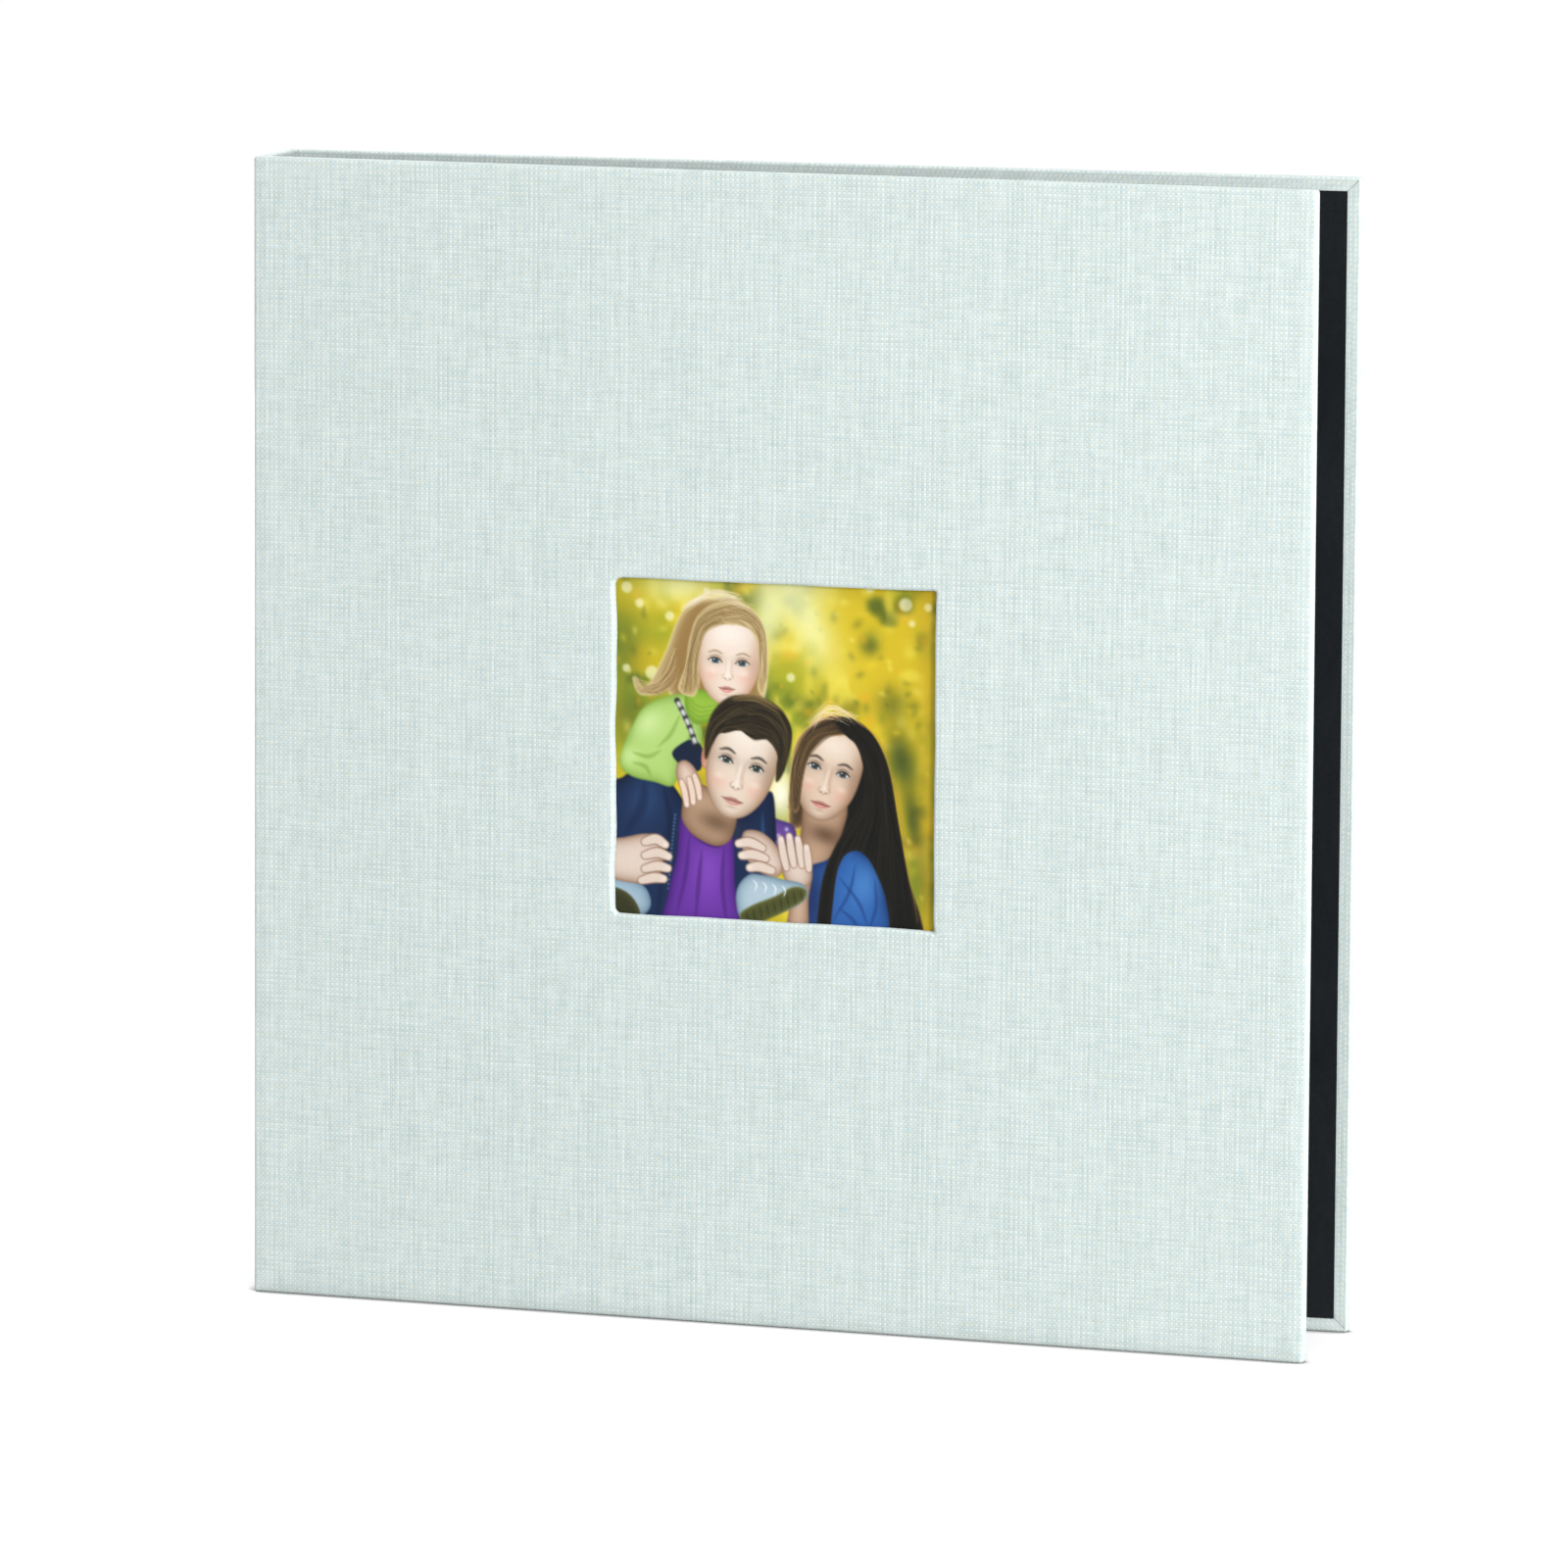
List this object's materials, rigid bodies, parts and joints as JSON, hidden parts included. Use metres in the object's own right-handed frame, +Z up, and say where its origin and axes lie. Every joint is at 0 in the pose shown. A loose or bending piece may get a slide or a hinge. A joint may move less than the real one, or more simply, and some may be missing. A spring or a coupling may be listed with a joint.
{
  "type": "scrapbook album",
  "caption": "Square linen-covered album standing slightly ajar: hinged hard covers, picture window in front, black post-bound pages that fan open.",
  "frame": {"origin": "centre of the bounding box's bottom face, on the surface the album stands on, with the front cover ajar as at rest", "axes": "+X from the spine to the fore-edge along the back cover, +Y from the front cover to the back cover, +Z up along the spine"},
  "size_m": [0.2704, 0.0472, 0.28],
  "materials": {
    "linen": "plain-weave book linen, pale mint, matt with a faint sheen",
    "grey_board": "raw solid grey board, dense pulp",
    "black_endpaper": "smooth black paper, matt",
    "black_card": "black solid card, fine tooth",
    "black_hinge_cloth": "thin black binding cloth",
    "binding_board": "board covered in black paper",
    "print_paper": "glossy colour print",
    "post_metal": "satin turned aluminium"
  },
  "bodies": {
    "binding": {"spine_board": "grey_board", "spine_cloth": "linen", "binding_channel": "black_hinge_cloth", "front_binding_strip": "binding_board", "back_binding_strip": "binding_board", "post_barrels": "post_metal", "post_screws": "post_metal", "page_stubs": "black_card", "page_hinge_strips": "black_hinge_cloth"},
    "front_cover": {"front_cover_cloth": "linen", "front_outer_board": "grey_board", "front_backing_board": "grey_board", "photo_print": "print_paper", "front_endpaper": "black_endpaper"},
    "back_cover": {"back_cover_cloth": "linen", "back_cover_board": "grey_board", "back_endpaper": "black_endpaper"},
    "leaf_01": {"page_leaf_01": "black_card"},
    "leaf_02": {"page_leaf_02": "black_card"},
    "leaf_03": {"page_leaf_03": "black_card"},
    "leaf_04": {"page_leaf_04": "black_card"},
    "leaf_05": {"page_leaf_05": "black_card"},
    "leaf_06": {"page_leaf_06": "black_card"},
    "leaf_07": {"page_leaf_07": "black_card"},
    "leaf_08": {"page_leaf_08": "black_card"},
    "leaf_09": {"page_leaf_09": "black_card"},
    "leaf_10": {"page_leaf_10": "black_card"},
    "leaf_11": {"page_leaf_11": "black_card"},
    "leaf_12": {"page_leaf_12": "black_card"},
    "leaf_13": {"page_leaf_13": "black_card"},
    "leaf_14": {"page_leaf_14": "black_card"},
    "leaf_15": {"page_leaf_15": "black_card"},
    "leaf_16": {"page_leaf_16": "black_card"},
    "leaf_17": {"page_leaf_17": "black_card"},
    "leaf_18": {"page_leaf_18": "black_card"},
    "leaf_19": {"page_leaf_19": "black_card"},
    "leaf_20": {"page_leaf_20": "black_card"}
  },
  "joints": [
    {"name": "front_cover_hinge", "type": "hinge", "parent": "binding", "child": "front_cover", "pos_m": [-0.13515, -0.00096, 0.14], "axis": [0, 0, -1], "range_deg": [-4.05, 174], "deforming": ["page_hinge_strips"]},
    {"name": "back_cover_hinge", "type": "hinge", "parent": "binding", "child": "back_cover", "pos_m": [-0.13515, 0.02004, 0.14], "axis": [0, 0, 1], "range_deg": [0, 175]},
    {"name": "page_01_crease", "type": "hinge", "parent": "binding", "child": "leaf_01", "pos_m": [-0.11115, 0.00194, 0.14], "axis": [0, 0, -1], "range_deg": [-3.67, 157.43]},
    {"name": "page_02_crease", "type": "hinge", "parent": "binding", "child": "leaf_02", "pos_m": [-0.11115, 0.00274, 0.14], "axis": [0, 0, -1], "range_deg": [-3.48, 149.56]},
    {"name": "page_03_crease", "type": "hinge", "parent": "binding", "child": "leaf_03", "pos_m": [-0.11115, 0.00354, 0.14], "axis": [0, 0, -1], "range_deg": [-3.3, 141.69]},
    {"name": "page_04_crease", "type": "hinge", "parent": "binding", "child": "leaf_04", "pos_m": [-0.11115, 0.00434, 0.14], "axis": [0, 0, -1], "range_deg": [-3.12, 133.82]},
    {"name": "page_05_crease", "type": "hinge", "parent": "binding", "child": "leaf_05", "pos_m": [-0.11115, 0.00514, 0.14], "axis": [0, 0, -1], "range_deg": [-2.93, 125.94]},
    {"name": "page_06_crease", "type": "hinge", "parent": "binding", "child": "leaf_06", "pos_m": [-0.11115, 0.00594, 0.14], "axis": [0, 0, -1], "range_deg": [-2.75, 118.07]},
    {"name": "page_07_crease", "type": "hinge", "parent": "binding", "child": "leaf_07", "pos_m": [-0.11115, 0.00674, 0.14], "axis": [0, 0, -1], "range_deg": [-2.57, 110.2]},
    {"name": "page_08_crease", "type": "hinge", "parent": "binding", "child": "leaf_08", "pos_m": [-0.11115, 0.00754, 0.14], "axis": [0, 0, -1], "range_deg": [-2.38, 102.33]},
    {"name": "page_09_crease", "type": "hinge", "parent": "binding", "child": "leaf_09", "pos_m": [-0.11115, 0.00834, 0.14], "axis": [0, 0, -1], "range_deg": [-2.2, 94.46]},
    {"name": "page_10_crease", "type": "hinge", "parent": "binding", "child": "leaf_10", "pos_m": [-0.11115, 0.00914, 0.14], "axis": [0, 0, -1], "range_deg": [-2.02, 86.59]},
    {"name": "page_11_crease", "type": "hinge", "parent": "binding", "child": "leaf_11", "pos_m": [-0.11115, 0.00994, 0.14], "axis": [0, 0, -1], "range_deg": [-1.83, 78.72]},
    {"name": "page_12_crease", "type": "hinge", "parent": "binding", "child": "leaf_12", "pos_m": [-0.11115, 0.01074, 0.14], "axis": [0, 0, -1], "range_deg": [-1.65, 70.84]},
    {"name": "page_13_crease", "type": "hinge", "parent": "binding", "child": "leaf_13", "pos_m": [-0.11115, 0.01154, 0.14], "axis": [0, 0, -1], "range_deg": [-1.47, 62.97]},
    {"name": "page_14_crease", "type": "hinge", "parent": "binding", "child": "leaf_14", "pos_m": [-0.11115, 0.01234, 0.14], "axis": [0, 0, -1], "range_deg": [-1.28, 55.1]},
    {"name": "page_15_crease", "type": "hinge", "parent": "binding", "child": "leaf_15", "pos_m": [-0.11115, 0.01314, 0.14], "axis": [0, 0, -1], "range_deg": [-1.1, 47.23]},
    {"name": "page_16_crease", "type": "hinge", "parent": "binding", "child": "leaf_16", "pos_m": [-0.11115, 0.01394, 0.14], "axis": [0, 0, -1], "range_deg": [-0.92, 39.36]},
    {"name": "page_17_crease", "type": "hinge", "parent": "binding", "child": "leaf_17", "pos_m": [-0.11115, 0.01474, 0.14], "axis": [0, 0, -1], "range_deg": [-0.73, 31.49]},
    {"name": "page_18_crease", "type": "hinge", "parent": "binding", "child": "leaf_18", "pos_m": [-0.11115, 0.01554, 0.14], "axis": [0, 0, -1], "range_deg": [-0.55, 23.62]},
    {"name": "page_19_crease", "type": "hinge", "parent": "binding", "child": "leaf_19", "pos_m": [-0.11115, 0.01634, 0.14], "axis": [0, 0, -1], "range_deg": [-0.37, 15.74]},
    {"name": "page_20_crease", "type": "hinge", "parent": "binding", "child": "leaf_20", "pos_m": [-0.11115, 0.01714, 0.14], "axis": [0, 0, -1], "range_deg": [-0.18, 7.87]}
  ],
  "couplings": [
    {"joint": "page_01_crease", "follows": "front_cover_hinge", "ratio": 0.90476},
    {"joint": "page_02_crease", "follows": "front_cover_hinge", "ratio": 0.85952},
    {"joint": "page_03_crease", "follows": "front_cover_hinge", "ratio": 0.81429},
    {"joint": "page_04_crease", "follows": "front_cover_hinge", "ratio": 0.76905},
    {"joint": "page_05_crease", "follows": "front_cover_hinge", "ratio": 0.72381},
    {"joint": "page_06_crease", "follows": "front_cover_hinge", "ratio": 0.67857},
    {"joint": "page_07_crease", "follows": "front_cover_hinge", "ratio": 0.63333},
    {"joint": "page_08_crease", "follows": "front_cover_hinge", "ratio": 0.5881},
    {"joint": "page_09_crease", "follows": "front_cover_hinge", "ratio": 0.54286},
    {"joint": "page_10_crease", "follows": "front_cover_hinge", "ratio": 0.49762},
    {"joint": "page_11_crease", "follows": "front_cover_hinge", "ratio": 0.45238},
    {"joint": "page_12_crease", "follows": "front_cover_hinge", "ratio": 0.40714},
    {"joint": "page_13_crease", "follows": "front_cover_hinge", "ratio": 0.3619},
    {"joint": "page_14_crease", "follows": "front_cover_hinge", "ratio": 0.31667},
    {"joint": "page_15_crease", "follows": "front_cover_hinge", "ratio": 0.27143},
    {"joint": "page_16_crease", "follows": "front_cover_hinge", "ratio": 0.22619},
    {"joint": "page_17_crease", "follows": "front_cover_hinge", "ratio": 0.18095},
    {"joint": "page_18_crease", "follows": "front_cover_hinge", "ratio": 0.13571},
    {"joint": "page_19_crease", "follows": "front_cover_hinge", "ratio": 0.090476},
    {"joint": "page_20_crease", "follows": "front_cover_hinge", "ratio": 0.045238}
  ]
}
